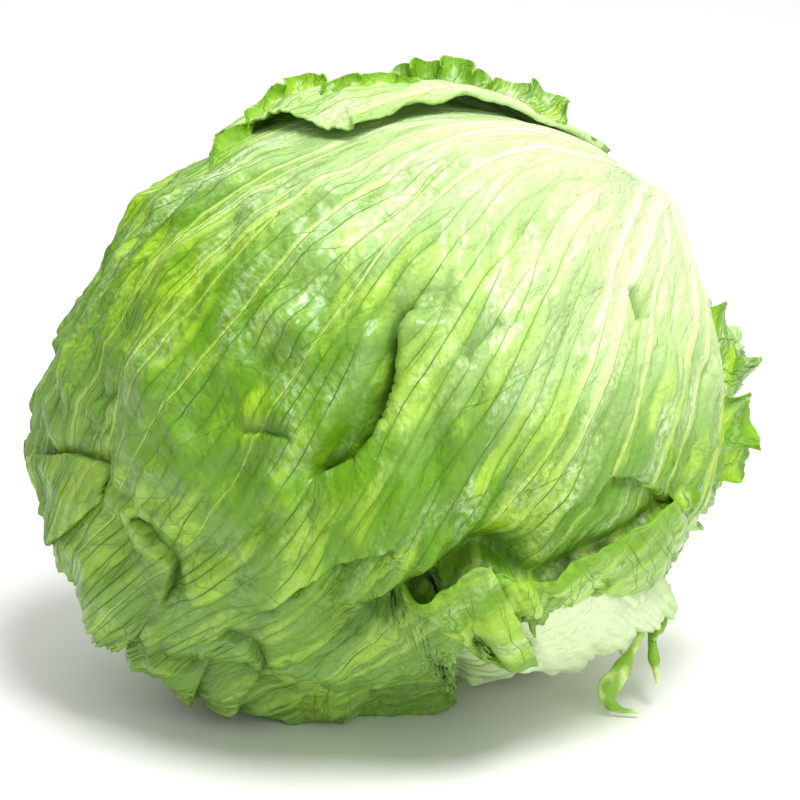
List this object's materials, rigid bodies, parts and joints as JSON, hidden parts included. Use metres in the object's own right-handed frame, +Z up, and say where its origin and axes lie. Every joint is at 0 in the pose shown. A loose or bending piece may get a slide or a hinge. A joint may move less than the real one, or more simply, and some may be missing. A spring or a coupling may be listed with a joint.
{
  "type": "iceberg lettuce head",
  "caption": "Iceberg lettuce head lying on its side: a tight round heart wrapped in loose veined leaves with ragged, rolled edges, all growing from one cut stem.",
  "frame": {"origin": "on the surface that the head lies on, in the flat spot pressed into its underside, below the head's middle", "axes": "+Z up; -Y is the side that the picture shows; +X to the right in the picture, the side where the cut stem points up and back"},
  "size_m": [0.1789, 0.1549, 0.1541],
  "materials": {
    "stem": "cut, pale cream-green, matt",
    "heart": "pale yellow-green, satin",
    "inner_leaf_left": "light green, satin",
    "inner_leaf_right": "light green, satin",
    "leaf_back": "mid green, waxy satin",
    "leaf_under": "pale green, waxy satin",
    "leaf_front": "bright green with pale ribs, waxy gloss",
    "leaf_top": "bright green, waxy gloss"
  },
  "bodies": {
    "root": {"stem": "stem", "heart": "heart", "inner_leaf_left": "inner_leaf_left", "inner_leaf_right": "inner_leaf_right", "leaf_back": "leaf_back", "leaf_under": "leaf_under", "leaf_front": "leaf_front", "leaf_top": "leaf_top"}
  },
  "joints": []
}
